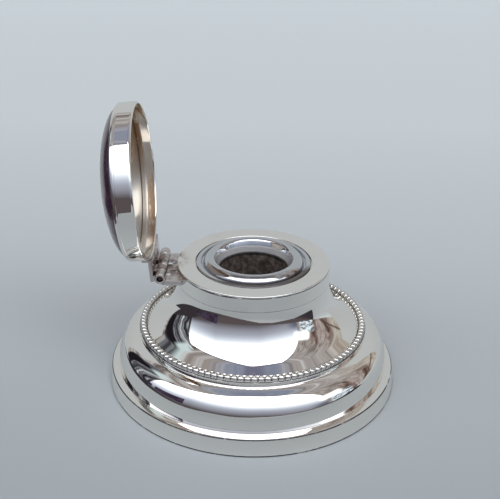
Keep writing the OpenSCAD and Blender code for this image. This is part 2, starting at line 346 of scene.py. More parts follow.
class Graph:
    """Builds one node tree."""

    def __init__(self, tree: bpy.types.NodeTree) -> None:
        """Empties the tree."""
        self.tree = tree
        tree.nodes.clear()

    def node(
        self,
        kind: str,
        settings: dict | None = None,
        inputs: dict | None = None,
        output: int | str = 0,
    ) -> Value | None:
        """Adds a node: its settings first, and then the values or links of its sockets.

        Args:
            kind: The node's type.
            settings: Its properties. For a ramp, "stops" holds (position, colour) pairs.
            inputs: Socket name or number, with a Value to link or a plain value to set.
            output: Which output is returned.

        Returns:
            The chosen output, or None for a node that has no outputs.
        """
        made = self.tree.nodes.new(kind)
        for name, value in (settings or {}).items():
            if name == "stops":
                self._stops(made.color_ramp, value)
            else:
                setattr(made, name, value)
        for name, value in (inputs or {}).items():
            if isinstance(value, Value):
                self.tree.links.new(value.socket, made.inputs[name])
            else:
                made.inputs[name].default_value = value
        return Value(self, made.outputs[output]) if made.outputs else None

    @staticmethod
    def _stops(ramp: bpy.types.ColorRamp, stops: list[tuple[float, Colour]]) -> None:
        """Gives a ramp its stops."""
        while len(ramp.elements) < len(stops):
            ramp.elements.new(0.5)
        for element, (position, colour) in zip(ramp.elements, stops):
            element.position = position
            element.color = (*colour, 1)

    def ramp(self, factor: Value, *stops: tuple[float, Colour]) -> Value:
        """A colour that runs through the stops as factor goes from 0 to 1."""
        return self.node("ShaderNodeValToRGB", {"stops": list(stops)}, {0: factor})

    def blend(self, factor: Value | float, a: Value | Colour, b: Value | Colour) -> Value:
        """The colour a where factor is 0 and b where it is 1."""
        a, b = (c if isinstance(c, Value) else (*c, 1) for c in (a, b))
        return self.node("ShaderNodeMix", {"data_type": "RGBA"}, {0: factor, 6: a, 7: b}, 2)

    def coordinates(self, output: str = "Object") -> Value:
        """Texture coordinates: an object's own, or a direction in the world."""
        return self.node("ShaderNodeTexCoord", output=output)

    def parts(self, vector: Value) -> tuple[Value, Value, Value]:
        """The three numbers of a vector."""
        first = self.node("ShaderNodeSeparateXYZ", inputs={0: vector})
        sockets = first.socket.node.outputs
        return first, Value(self, sockets[1]), Value(self, sockets[2])

    def vector(self, x: Value | float, y: Value | float, z: Value | float) -> Value:
        """A vector of three numbers."""
        return self.node("ShaderNodeCombineXYZ", inputs={0: x, 1: y, 2: z})

    def scaled(self, vector: Value, scale: tuple[float, float, float]) -> Value:
        """A vector with each of its numbers multiplied by its own scale."""
        return self.node("ShaderNodeMapping", inputs={0: vector, 3: scale})

    def noise(
        self, vector: Value, scale: float, detail: float, rough: float, warp: float = 0.0
    ) -> Value:
        """Smooth noise from 0 to 1, about 0.5."""
        inputs = {"Vector": vector, "Scale": scale, "Detail": detail, "Roughness": rough}
        return self.node("ShaderNodeTexNoise", {}, inputs | {"Distortion": warp})

    def distance(self, vector: Value, point: tuple[float, float, float]) -> Value:
        """How far a vector is from a point."""
        settings = {"operation": "DISTANCE"}
        return self.node("ShaderNodeVectorMath", settings, {0: vector, 1: point}, "Value")

    def bump(self, height: Value, depth: float, under: Value | None = None) -> Value:
        """A normal tilted by a height from 0 to 1 that stands for depth, in metres."""
        inputs = {"Height": height, "Distance": depth, "Strength": 1.0}
        if under is not None:
            inputs["Normal"] = under
        return self.node("ShaderNodeBump", {}, inputs)

    def surface(self, **inputs: Value | float | tuple) -> Value:
        """A Principled shader. An underscore in a name stands for a space."""
        named = {name.replace("_", " "): value for name, value in inputs.items()}
        return self.node("ShaderNodeBsdfPrincipled", {}, named)

    def mixed(self, factor: Value | float, a: Value, b: Value) -> Value:
        """The shader a where factor is 0 and b where it is 1."""
        return self.node("ShaderNodeMixShader", {}, {0: factor, 1: a, 2: b})

    def glow(self, colour: Value) -> Value:
        """A shader that shines with a colour and takes no light."""
        return self.node("ShaderNodeEmission", {}, {"Color": colour, "Strength": 1.0})

    def finished(self, shader: Value) -> None:
        """Links the shader to the material's output."""
        self.node("ShaderNodeOutputMaterial", {}, {0: shader})


def material(name: str) -> tuple[bpy.types.Material, Graph]:
    """A new material and the graph that fills it."""
    made = bpy.data.materials.new(name)
    made.use_nodes = True
    return made, Graph(made.node_tree)


# ---------------------------------------------------------------- finishes


@dataclass(frozen=True)
class Silver:
    """Polished silver, with slow unevenness from spinning, hairline scratches and tarnish.

    hinge_stain is how far the tarnish spreads from hinge_at, and aged holds the two heights
    between which it takes over. Dark lines lie at listed heights, each given with half its width:
    dirt in the joints, and painted contact shade where the foot's bottom edge meets the floor.
    Painted shade also darkens the gaps between a row of bead_count beads, and their feet.
    """

    name: str
    tone: Colour = (0.935, 0.905, 0.855)
    tarnish_tone: Colour = (0.50, 0.36, 0.26)
    # Colour of dirt, and also of painted shade at the foot's contact and between the beads.
    dirt_and_shade: Colour = (0.045, 0.040, 0.045)
    roughness: float = 0.035
    tarnish: float = 0.05
    hinge_stain: float = 0.0
    hinge_at: tuple[float, float, float] = (-0.0355, 0.0, 0.0475)
    wobble: float = 0.00003
    bead_count: int = 0
    aged: tuple[float, float] | None = None
    dark_lines: tuple[tuple[float, float], ...] = ()

    def make(self) -> bpy.types.Material:
        """Builds the material."""
        made, g = material(self.name)
        place = g.coordinates()
        x, y, z = g.parts(place)
        mottle = g.noise(place, 45, 4, 0.6)
        broken = g.noise(place, 170, 3, 0.7)
        film = mottle.rises(0.52, 0.8) * self.tarnish
        if self.hinge_stain:
            near = g.distance(place, self.hinge_at)
            reach = 1 - near.rises(0.004, self.hinge_stain)
            film = film.most(reach * g.noise(place, 260, 3, 0.7).rises(0.36, 0.62))
            blots = g.noise(place, 240, 2, 0.6, 1.5).rises(0.56, 0.61)
        if self.aged:
            film = film.most(z.rises(*self.aged) * broken.rises(0.25, 0.5))
        dirt_and_shade_mask = reach * blots * 0.85 if self.hinge_stain else film * 0.0
        # Painted shade: darker between the beads, low down, and along the strip under them.
        if self.bead_count:
            around = g.node("ShaderNodeMath", {"operation": "ARCTAN2"}, {0: y, 1: x})
            part = (around * (self.bead_count / (2 * math.pi)) + self.bead_count).fraction()
            painted_gap_shade = abs(part - 0.5).rises(0.37, 0.47) * (1 - z.rises(0.0256, 0.0266)) * 0.5
            strip = 1 - z.rises(0.02490, 0.02515)
            dirt_and_shade_mask = painted_gap_shade.most(strip * 0.4)
        # Dark lines at the listed heights: dirt in joints, and painted contact shade where the
        # foot's bottom edge meets the floor.
        for height, half in self.dark_lines:
            line = 1 - abs(z - height).rises(half * 0.5, half)
            dirt_and_shade_mask = dirt_and_shade_mask.most(line * broken.rises(0.30, 0.46))
        scratches = g.noise(g.scaled(place, (1, 1, 6)), 900, 2, 0.6)
        colour = g.blend(dirt_and_shade_mask, g.blend(film, self.tone, self.tarnish_tone), self.dirt_and_shade)
        dull = self.roughness + (film + dirt_and_shade_mask) * 0.28 + scratches.rises(0.58, 0.75) * 0.03
        slow = g.bump(g.noise(place, 38, 1, 0.4), self.wobble)
        fine = g.bump(g.noise(place, 1500, 2, 0.6), 0.0000012, slow)
        g.finished(g.surface(Base_Color=colour, Metallic=1.0, Roughness=dull, Normal=fine))
        return made


@dataclass(frozen=True)
class InkGlass:
    """Clear moulded glass: silvered under its rim, with a bloom in the throat and dried ink.

    The ink lies in the bore below ink_z. Painted shade darkens the front of the moat, outside gap_r
    and below gap_z, and a faint painted dark band, in place of a dark reflection, crosses the front
    of the lip between the two radii of dark_band_r.
    """

    name: str = "moulded_glass"
    tint: Colour = (0.93, 0.955, 0.95)
    backing: Colour = (0.88, 0.89, 0.92)
    ink: Colour = (0.042, 0.033, 0.031)
    crust: Colour = (0.19, 0.15, 0.13)
    bloom: Colour = (0.68, 0.665, 0.66)
    ink_z: float = 0.0483
    bore_r: float = 0.0150
    rim_z: float = 0.0485
    gap_r: float = 0.0197
    gap_z: float = 0.0527
    dark_band_r: tuple[float, float] = (0.0182, 0.0192)
    dark_band_half: float = 0.0085
    silvered: float = 0.72

    def make(self) -> bpy.types.Material:
        """Builds the material."""
        made, g = material(self.name)
        place = g.coordinates()
        x, y, z = g.parts(place)
        flat = g.distance(g.vector(x, y, 0.0), (0, 0, 0))
        wave = g.bump(g.noise(place, 55, 1, 0.4), 0.00004)
        thin = g.noise(place, 420, 4, 0.65)
        clear = g.surface(
            Base_Color=(*self.tint, 1),
            Roughness=0.015,
            IOR=1.5,
            Transmission_Weight=1.0,
            Normal=wave,
        )
        dim = g.surface(Base_Color=(*self.bloom, 1), Roughness=0.2, Normal=wave)
        mirror = g.surface(
            Base_Color=(*self.backing, 1), Metallic=1.0, Roughness=0.04, Normal=wave
        )
        crusted = thin.rises(0.35, 0.75) * (1 - flat.rises(0.019, 0.020) * 0.8)
        film = g.blend(crusted, self.ink, self.crust)
        dry_ink_and_shade = g.surface(Base_Color=film, Roughness=0.32 + thin * 0.2, Normal=g.bump(thin, 0.0001))
        wall = flat.rises(self.bore_r, self.bore_r + 0.0003)
        rim = wall * z.rises(self.rim_z - 0.0002, self.rim_z)
        throat = (1 - wall) * z.rises(self.rim_z, 0.050)
        drip = g.noise(g.scaled(place, (1, 1, 0.25)), 190, 3, 0.6)
        level = self.ink_z + (drip - 0.5) * 0.0022
        inked = 1 - flat.rises(self.bore_r, self.bore_r + 0.0002)
        inked = inked * (1 - z.rises(level - 0.001, level + 0.0008))
        # Painted shade in the moat, at its front alone.
        painted_gap_shade = flat.rises(self.gap_r, self.gap_r + 0.0004)
        painted_gap_shade = painted_gap_shade * (1 - z.rises(self.gap_z, self.gap_z + 0.0003))
        painted_gap_shade = painted_gap_shade * (x * 0.35 - y).rises(0.0095, 0.0165)
        # A painted dark band across the front of the lip, in place of a dark reflection.
        dark_band = flat.within(*self.dark_band_r, 0.0003)
        dark_band = dark_band * x.within(-self.dark_band_half, self.dark_band_half, 0.002)
        dark_band = dark_band * (1 - y.rises(-0.014, -0.008))
        ink_and_shade = (inked * 0.94).most(painted_gap_shade * 0.9).most(dark_band * 0.7)
        backed = g.mixed(rim * self.silvered, g.mixed(throat * 0.5, clear, dim), mirror)
        g.finished(g.mixed(ink_and_shade, backed, dry_ink_and_shade))
        return made


@dataclass(frozen=True)
class DomeShell:
    """Polished dark aubergine shell, with a faint mottle in its depth."""

    name: str = "polished_shell"
    dark: Colour = (0.034, 0.013, 0.030)
    warm: Colour = (0.095, 0.040, 0.060)

    def make(self) -> bpy.types.Material:
        """Builds the material."""
        made, g = material(self.name)
        place = g.coordinates()
        cloud = g.noise(place, 85, 4, 0.62, 0.6)
        colour = g.blend(cloud.rises(0.42, 0.66), self.dark, self.warm)
        worn = g.noise(place, 420, 3, 0.6).rises(0.45, 0.8)
        normal = g.bump(g.noise(place, 60, 1, 0.4), 0.00003)
        g.finished(
            g.surface(
                Base_Color=colour,
                Roughness=0.24 + worn * 0.12,
                Coat_Weight=0.6,
                Coat_Roughness=0.10,
                IOR=1.54,
                Normal=normal,
            )
        )
        return made


@dataclass(frozen=True)
class Grained:
    """A dull, non-metal finish with a mottle between two colours: pitch or wood."""

    name: str
    dark: Colour
    light: Colour
    scale: float
    stretch: tuple[float, float, float] = (1, 1, 1)
    roughness: float = 0.7
    depth: float = 0.0002

    def make(self) -> bpy.types.Material:
        """Builds the material."""
        made, g = material(self.name)
        place = g.scaled(g.coordinates(), self.stretch)
        grain = g.noise(place, self.scale, 5, 0.6, 0.4)
        colour = g.blend(grain.rises(0.3, 0.7), self.dark, self.light)
        g.finished(
            g.surface(
                Base_Color=colour,
                Roughness=self.roughness - grain * 0.2,
                Normal=g.bump(grain, self.depth),
            )
        )
        return made


@dataclass(frozen=True)
class Felt:
    """Green baize: short matted fibres with a little sheen."""

    name: str = "green_baize"
    dark: Colour = (0.018, 0.070, 0.036)
    light: Colour = (0.060, 0.150, 0.085)

    def make(self) -> bpy.types.Material:
        """Builds the material."""
        made, g = material(self.name)
        place = g.coordinates()
        fibre = g.noise(place, 2600, 3, 0.7, 1.2)
        patch = g.noise(place, 70, 3, 0.6)
        colour = g.blend((fibre * 0.7 + patch * 0.3).rises(0.35, 0.68), self.dark, self.light)
        g.finished(
            g.surface(
                Base_Color=colour,
                Roughness=0.95,
                Sheen_Weight=0.35,
                Sheen_Roughness=0.5,
                Normal=g.bump(fibre, 0.00025),
            )
        )
        return made


class Finishes:
    """Every finish of the inkstand, made once."""

    def __init__(self) -> None:
        """Makes the materials."""
        # Each dark line's height and half its width, in metres. The foot's first line, at the
        # floor, is painted contact shade; the others are dirt in joints.
        foot_joints_and_contact_shade = ((0.0002, 0.0006), (0.0072, 0.00022), (0.02445, 0.00012))
        collar_seams = ((0.0455, 0.00035), (0.05138, 0.00022))
        self.silver = Silver("polished_silver", dark_lines=foot_joints_and_contact_shade).make()
        # The beads' silver is a darker copy of the polished silver: painted shade for the small
        # beads.
        self.beads = Silver(
            "beaded_silver_painted_shade",
            tone=(0.72, 0.70, 0.665),
            roughness=0.09,
            wobble=0.0,
            bead_count=LAYOUT.bead_count,
        ).make()
        self.collar = Silver(
            "collar_silver", tarnish=0.22, hinge_stain=0.013, dark_lines=collar_seams
        ).make()
        self.band = Silver("lid_band_silver", tarnish=0.02, wobble=0.00002).make()
        self.hinge = Silver(
            "worn_hinge_silver",
            tone=(0.66, 0.605, 0.585),
            tarnish_tone=(0.27, 0.19, 0.165),
            roughness=0.10,
            tarnish=0.45,
            hinge_stain=0.014,
            wobble=0.00005,
        ).make()
        # The pin is tarnished dark, and made darker still as painted shade for the recess at the
        # knuckle ends.
        self.pin = Silver(
            "dark_pin_and_recess_shade", tone=(0.060, 0.048, 0.046), roughness=0.35, tarnish=0.1
        ).make()
        self.gilt = Silver(
            "worn_gilt",
            tone=(0.66, 0.62, 0.565),
            tarnish_tone=(0.40, 0.265, 0.165),
            roughness=0.34,
            tarnish=0.5,
            aged=(0.072, 0.094),
        ).make()
        self.glass = InkGlass().make()
        self.shell = DomeShell().make()
        self.pitch = Grained("pitch", (0.015, 0.010, 0.007), (0.05, 0.035, 0.025), 160).make()
        self.wood = Grained(
            "turned_wood", (0.16, 0.085, 0.04), (0.34, 0.20, 0.11), 60, (1, 12, 1), 0.62
        ).make()
        self.felt = Felt().make()


# ---------------------------------------------------------------- pieces


def piece(
    name: str, made: Shell, finish: bpy.types.Material, body: str, slot: str, *nodes: str
) -> bpy.types.Object:
    """Adds one piece of the inkstand.

    Args:
        name: The piece's name.
        made: Its vertices in metres, and its faces.
        finish: Its material.
        body: The body that it rides on.
        slot: The record's material slot. Not used.
        *nodes: The solids that it stands for.

    Returns:
        The new object.
    """
    vertices, faces = made
    mesh = bpy.data.meshes.new(name)
    mesh.from_pydata(vertices.tolist(), [], faces)
    mesh.polygons.foreach_set("use_smooth", np.ones(len(mesh.polygons), bool))
    mesh.materials.append(finish)
    mesh.update()
    made_object = bpy.data.objects.new(name, mesh)
    bpy.context.scene.collection.objects.link(made_object)
    return settled(made_object, body, slot, *nodes)


def settled(made: bpy.types.Object, body: str, slot: str, *nodes: str) -> bpy.types.Object:
    """Says what a piece rides on and which solids it stands for."""
    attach(made, body)
    if nodes:
        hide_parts(*nodes)
    log.info("%s: %d faces", made.name, len(made.data.polygons))
    return made


def eased(node: str, name: str, finish: bpy.types.Material, width: float) -> bpy.types.Object:
    """Copies a solid, merges its flat faces and eases its edges with a bevel.

    Args:
        node: The solid to copy.
        name: Name of the new piece.
        finish: Its material.
        width: Width of the bevel, in millimetres.

    Returns:
        The new object, which isn't on a body yet.
    """
    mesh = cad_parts[node].data.copy()
    mesh.name = name
    work = bmesh.new()
    work.from_mesh(mesh)
    bmesh.ops.remove_doubles(work, verts=work.verts, dist=1e-6)
    bmesh.ops.dissolve_limit(
        work, angle_limit=math.radians(0.5), verts=work.verts, edges=work.edges
    )
    work.to_mesh(mesh)
    work.free()
    mesh.materials.clear()
    mesh.materials.append(finish)
    mesh.polygons.foreach_set("use_smooth", np.ones(len(mesh.polygons), bool))
    made = bpy.data.objects.new(name, mesh)
    bpy.context.scene.collection.objects.link(made)
    bevel = made.modifiers.new("eased_edges", "BEVEL")
    bevel.width = width * MM
    bevel.segments = 3
    bevel.limit_method = "ANGLE"
    bevel.angle_limit = math.radians(35)
    bevel.harden_normals = True
    return made


def dressed(finish: bpy.types.Material, *nodes: str) -> None:
    """Gives solids that keep their shape a better material."""
    for node in nodes:
        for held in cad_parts[node].material_slots:
            held.material = finish
        log.info("%s: dressed with %s", node, finish.name)


@dataclass
class SpunBody:
    """The foot, the ovolo, the bead ring and the waist."""

    foot_r: float = 59.93
    foot_wall: float = 1.0
    foot_lip_w: float = 2.4
    foot_lip_t: float = 0.8
    edge: float = 0.2
    shoulder_w: float = 3.1
    shoulder_slope: float = 8.0
    shoulder_fillet: float = 0.32
    shell_lap: float = 0.7
    ovolo_z: float = 8.3416
    riser_fillet: float = 0.45
    ovolo_w: float = 12.3
    ovolo_h: float = 14.5
    ovolo_power: float = 2.4
    riser_r: float = 47.0
    ledge_tuck: float = 2.0
    bead_r: float = 1.22
    bead_rise: float = 0.95
    bead_half: float = 1.23
    neck_r: float = 0.5
    strip_t: float = 0.5
    waist_set_back: float = 0.7
    waist_slopes: tuple[float, float, float] = (3.0, 31.0, 57.0)
    waist_cone_l: float = 4.3
    waist_foot_r: float = 44.0

    def foot_band(self) -> Shell:
        """The upright band round the foot: a leaning wall with a lip turned in under it."""
        top_r, top, wall = LAYOUT.foot_top_r, LAYOUT.foot_band_h, self.foot_wall
        corners = outline(
            [
                (self.foot_r - self.foot_lip_w, 0.0),
                (self.foot_r, 0.0),
                (top_r, top),
                (top_r - wall, top),
                (self.foot_r - wall, self.foot_lip_t),
                (self.foot_r - self.foot_lip_w, self.foot_lip_t),
            ]
        )
        radii = np.array([0.1, 0.45, 0.22, 0.1, 0.1, 0.1])
        return turned(filled_in(softened(corners, radii), 0.6))

    def ovolo(self, depth: float) -> Points:
        """The ovolo's profile at a depth below the surface.

        A superellipse: r = centre + w cos(a)^(2/n) and z = base + h sin(a)^(2/n), from the shoulder
        to where it meets the riser.

        Args:
            depth: Distance below the outer surface, in millimetres.

        Returns:
            Points from the foot of the ovolo to its top.
        """
        power = 2 / self.ovolo_power
        centre = LAYOUT.foot_top_r - self.shoulder_w - self.ovolo_w
        end = math.acos(((self.riser_r - centre) / self.ovolo_w) ** (1 / power))
        a = end * np.linspace(0, 1, 61)
        return np.column_stack(
            [
                centre + (self.ovolo_w - depth) * np.cos(a) ** power,
                self.ovolo_z + (self.ovolo_h - depth) * np.sin(a) ** power,
            ]
        )

    def base_shell(self) -> Shell:
        """The spun ovolo with its sloping shoulder, riser and the ledge under the beads.

        A fillet of radius f that touches a slope of angle t has its centre f / cos t above it. The
        riser's fillet leaves the ovolo 16 degrees past its own lowest point, about 0.72 of its
        radius from the riser, and the ovolo's points end just outside that.
        """
        outer, inner = self.ovolo(0.0), self.ovolo(LAYOUT.sheet_t)[::-6]
        tip_r, tip_z = LAYOUT.foot_top_r - 2 * self.edge, LAYOUT.foot_band_h + self.edge
        slope, fillet, foot = self.shoulder_slope, self.shoulder_fillet, self.riser_fillet
        fillet_r = LAYOUT.foot_top_r - self.shoulder_w + fillet
        rise = math.tan(math.radians(slope)) * (tip_r - fillet_r)
        fillet_z = tip_z + rise + fillet / math.cos(math.radians(slope))
        outer = outer[outer[:, 0] > self.riser_r + 0.76 * foot]
        lap_r = tip_r - self.shell_lap
        ledge, sheet, tuck = LAYOUT.ledge_z, LAYOUT.sheet_t, self.waist_foot_r - self.ledge_tuck
        profile = outline(
            arc((tip_r, tip_z - self.edge), (self.edge, self.edge), 0, 80, 4),
            arc((fillet_r, fillet_z), (fillet, fillet), 270 - slope, 182, 8),
            outer,
            arc((self.riser_r + foot, outer[-1][1] + 0.97 * foot), (foot, foot), 254, 181, 8),
            arc((self.riser_r - 0.12, ledge - 0.12), (0.12, 0.12), 5, 88, 4),
            [(tuck, ledge), (tuck, ledge - sheet), (self.riser_r - sheet, ledge - sheet)],
            inner,
            [(inner[-1][0], tip_z - sheet), (lap_r, tip_z - sheet), (lap_r, tip_z - self.edge)],
        )
        # Two shallow dents, as turned() takes them.
        dents = np.array([[-106.0, 14.2, 0.035, 5.0, 0.5], [-64.0, 12.0, 0.02, 3.0, 2.0]])
        return turned(filled_in(profile, 0.6), dents=dents)

    def bead_ring(self) -> Shell:
        """The ring of beads on its strip.

        Round the ring the section's radius is that of a row of full beads with necks between them,
        R (1 - |s / L|^3)^(1/3) at a distance s from the middle of a bead that is 2 L long. The
        section is a circle about the bead circle, cut flat where it would go through the ledge.
        """
        circle, count = LAYOUT.bead_circle_r, LAYOUT.bead_count
        pitch = 2 * math.pi / count
        reach = (1 - (self.neck_r / self.bead_r) ** 3) ** (1 / 3)
        t = reach * np.sin(np.linspace(-1, 1, 11) * math.pi / 2)
        along = np.append(self.bead_half * t, circle * pitch / 2)
        thick = np.append(self.bead_r * (1 - np.abs(t) ** 3) ** (1 / 3), self.neck_r)
        middle = (np.arange(count) + 0.5) * pitch
        a = (middle[:, None] + along / circle).ravel()[:, None]
        section = np.linspace(0, 2 * math.pi, 17)[:-1]
        rho = np.tile(thick, count)[:, None]
        r = circle + rho * np.cos(section)
        z = LAYOUT.ledge_z + np.maximum(self.bead_rise + rho * np.sin(section), 0.02)
        beads = shell(np.stack([r * np.cos(a), r * np.sin(a), z], -1))
        inner, outer = self.waist_foot_r + 0.1, self.riser_r - self.edge
        low, high = LAYOUT.ledge_z, LAYOUT.ledge_z + self.strip_t
        strip = outline([(inner, low), (outer, low), (outer, high), (inner, high)])
        return joined(beads, turned(filled_in(softened(strip, 0.12, 2), 0.7)))

    def waist(self, depth: float, foot_z: float) -> Points:
        """The waist's profile: a long hollow arc, a tighter one and a cone that runs to the beads.

        The two radii solve R1 (cos p - cos q) + R2 (cos q - cos s) = width and
        R1 (sin q - sin p) + R2 (sin s - sin q) = height, with p, q and s the three slopes and the
        width and height those that the cone leaves.

        Args:
            depth: Distance behind the outer surface, in millimetres.
            foot_z: Height at which the cone ends.

        Returns:
            Points from the foot of the waist to the seam.
        """
        p, q, s = (math.radians(v) for v in self.waist_slopes)
        top_r, top_z = LAYOUT.drum_r - self.waist_set_back, LAYOUT.seam_z
        cone_z = LAYOUT.ledge_z + LAYOUT.sheet_t
        span = [
            self.waist_foot_r - top_r - self.waist_cone_l * math.sin(s),
            top_z - cone_z - self.waist_cone_l * math.cos(s),
        ]
        turns = [
            [math.cos(p) - math.cos(q), math.cos(q) - math.cos(s)],
            [math.sin(q) - math.sin(p), math.sin(s) - math.sin(q)],
        ]
        long_r, short_r = np.linalg.solve(turns, span)
        long_at = np.array([top_r + long_r * math.cos(p), top_z + long_r * math.sin(p)])
        short_at = long_at - (long_r - short_r) * np.array([math.cos(q), math.sin(q)])
        radii = [(-(r + depth), -(r + depth)) for r in (long_r, short_r)]
        sweep = arc(tuple(short_at), radii[1], self.waist_slopes[2], self.waist_slopes[1], 30)
        rise = arc(tuple(long_at), radii[0], self.waist_slopes[1], self.waist_slopes[0], 40)
        down = (cone_z - depth * math.sin(s) - foot_z) / math.cos(s)
        foot_r = self.waist_foot_r - depth * math.cos(s) + down * math.sin(s)
        return outline([(foot_r, foot_z)], sweep[:-1], rise)

    def waist_shell(self) -> Shell:
        """The hollow waist between the beads and the collar."""
        ledge, sheet = LAYOUT.ledge_z, LAYOUT.sheet_t
        inner = self.waist(sheet, ledge)
        top = [(LAYOUT.drum_r - self.waist_set_back - sheet, LAYOUT.seam_z)]
        outer = self.waist(0.0, ledge + sheet)
        profile = outline([(self.waist_foot_r, ledge)], outer, top, inner[::-5], inner[:1])
        return turned(filled_in(profile, 0.6))

    def build(self, finishes: Finishes) -> None:
        """Adds the four pieces."""
        piece("spun_foot_band", self.foot_band(), finishes.silver, "stand", "silver", "foot_band")
        piece("spun_ovolo", self.base_shell(), finishes.silver, "stand", "silver", "base_shell")
        piece("bead_wire", self.bead_ring(), finishes.beads, "stand", "silver", "bead_ring")
        piece("spun_waist", self.waist_shell(), finishes.silver, "stand", "silver", "waist_shell")


@dataclass
class Collar:
    """The drum and plate that hold the glass."""

    drum_wall: float = 1.0
    plate_t: float = 0.8
    plate_round: float = 0.3
    hole_flange_t: float = 0.8
    seat_t: float = 0.8

    def drum(self) -> Shell:
        """The short drum under the plate, a little wider at the seam."""
        top, foot = LAYOUT.collar_z - self.plate_t, LAYOUT.seam_z
        corners = outline(
            [
                (LAYOUT.drum_r - self.drum_wall, foot),
                (LAYOUT.drum_r, foot),
                (LAYOUT.plate_r, top),
                (LAYOUT.plate_r - self.drum_wall, top),
            ]
        )
        return turned(filled_in(softened(corners, np.array([0.1, 0.3, 0.12, 0.1])), 0.5))

    def plate(self) -> Shell:
        """The flat plate with the flange turned down round the hole."""
        hole, top = LAYOUT.well_hole_r, LAYOUT.collar_z
        foot = top - LAYOUT.flange_t - self.seat_t
        flange = hole + self.hole_flange_t
        corners = outline(
            [
                (hole, foot),
                (flange, foot),
                (flange, top - self.plate_t),
                (LAYOUT.plate_r, top - self.plate_t),
                (LAYOUT.plate_r, top),
                (hole, top),
            ]
        )
        radii = np.array([0.1, 0.1, 0.1, 0.12, self.plate_round, self.plate_round])
        return turned(filled_in(softened(corners, radii), 0.5))

    def build(self, finishes: Finishes) -> None:
        """Adds the drum and the plate, and dresses the ring that the glass rests on."""
        piece("collar_drum_spun", self.drum(), finishes.collar, "stand", "silver", "collar_drum")
        piece("collar_plate_spun", self.plate(), finishes.collar, "stand", "silver", "collar_plate")
        dressed(finishes.silver, "liner_seat")


@dataclass
class GlassWell:
    """The moulded glass that lifts out of the collar."""

    flange_gap: float = 0.4
    bore_r: float = 15.6
    throat_r: float = 14.1
    throat_drop: float = 5.0
    throat_round: float = 0.6
    flange_round: float = 0.7
    moat_r: float = 20.4
    moat_depth: float = 1.4
    lip_round: float = 1.5
    lip_rise: float = 2.2
    pot_r: float = 20.2
    pot_h: float = 29.4
    floor_t: float = 4.0
    foot_round: float = 3.4

    def build(self, finishes: Finishes) -> None:
        """Adds the glass: pot, flange, moat, rolled lip, flared throat and bore in one profile."""
        seat = LAYOUT.collar_z - LAYOUT.flange_t
        foot, flange_r = seat - self.pot_h, LAYOUT.well_hole_r - self.flange_gap
        floor, top = foot + self.floor_t, LAYOUT.collar_z + self.lip_rise
        soft, crest = self.foot_round, self.bore_r + self.lip_round
        moat, moat_z = self.moat_r, LAYOUT.collar_z - self.moat_depth
        flank = (moat - crest, top - moat_z)
        bend, shoulder = self.throat_round, self.flange_round
        throat = (self.throat_r + bend, top - self.throat_drop - 0.2)
        profile = outline(
            [(0.0, foot)],
            arc((self.pot_r - soft, foot + soft), (soft, soft), 270, 360, 10),
            [(self.pot_r, seat - 0.3), (self.pot_r + 0.3, seat), (flange_r - 0.2, seat)],
            [(flange_r, seat + 0.2)],
            arc((flange_r - shoulder, LAYOUT.collar_z - 0.5), (shoulder, shoulder), 0, 100, 8),
            arc((moat + 1.1, LAYOUT.collar_z), (0.2, 0.2), 70, 170, 5),
            [(moat + 0.75, moat_z + 0.15), (moat + 0.6, moat_z), (moat + 0.1, moat_z)],
            arc((crest, moat_z), flank, 2, 90, 22),
            arc((crest, top - self.lip_round), (self.lip_round, self.lip_round), 97, 160, 9),
            arc(throat, (bend, bend), 150, 180, 3),
            arc((self.throat_r - soft, floor + soft), (soft, soft), 0, -90, 10),
            [(0.0, floor)],
        )
        made = turned(filled_in(profile, 1.0))
        piece("glass_well_moulded", made, finishes.glass, "well", "clear_glass", "glass_liner")


@dataclass
class Hinge:
    """The lug, the leaf, five knuckles and the pin."""

    knuckle_r: float = 2.2
    knuckle_l: float = 5.0
    knuckle_gap: float = 0.15
    pin_r: float = 1.3
    pin_setback: float = 1.5
    pin_fit: float = 0.01
    pin_play: float = 0.06
    edge: float = 0.3
    filed_edge: float = 0.22

    def knuckle(self, number: int, hole_r: float) -> Shell:
        """One knuckle: a tube about the pin with eased ends.

        Args:
            number: Its place from the near end, from 0 to 4.
            hole_r: Radius of its hole, in millimetres.

        Returns:
            The tube.
        """
        near = (number - 2.5) * self.knuckle_l + (0 if number == 0 else self.knuckle_gap / 2)
        far = (number - 1.5) * self.knuckle_l - (0 if number == 4 else self.knuckle_gap / 2)
        corners = outline(
            [(hole_r, near), (self.knuckle_r, near), (self.knuckle_r, far), (hole_r, far)]
        )
        radii = np.array([0.12, self.edge, self.edge, 0.12])
        return turned(filled_in(softened(corners, radii), 0.7), Axis.PIN, 64)

    def pin(self) -> Shell:
        """The pin, with ends peened into low domes inside the end knuckles."""
        half = 2.5 * self.knuckle_l - self.pin_setback
        corners = outline([(0.0, -half), (self.pin_r, -half), (self.pin_r, half), (0.0, half)])
        radii = np.array([0.0, 0.5, 0.5, 0.0])
        return turned(filled_in(softened(corners, radii), 1.0), Axis.PIN, 48)

    def build(self, finishes: Finishes) -> None:
        """Adds the hinge."""
        worn = finishes.hinge
        for number, name, body in (
            (0, "body_knuckle_near", "stand"),
            (2, "body_knuckle_middle", "stand"),
            (4, "body_knuckle_far", "stand"),
            (1, "lid_knuckle_near", "lid"),
            (3, "lid_knuckle_far", "lid"),
        ):
            hole = self.pin_r + (self.pin_fit if body == "stand" else self.pin_play)
            made = self.knuckle(number, hole)
            piece(f"{name}_drawn", made, worn, body, "worn_silver", name)
        piece("hinge_pin_peened", self.pin(), finishes.pin, "stand", "worn_silver", "hinge_pin")
        lug = eased("hinge_lug", "hinge_lug_filed", worn, self.filed_edge)
        settled(lug, "stand", "worn_silver", "hinge_lug")
        leaf = eased("lid_leaf", "lid_leaf_filed", worn, self.filed_edge)
        settled(leaf, "lid", "worn_silver", "lid_leaf")


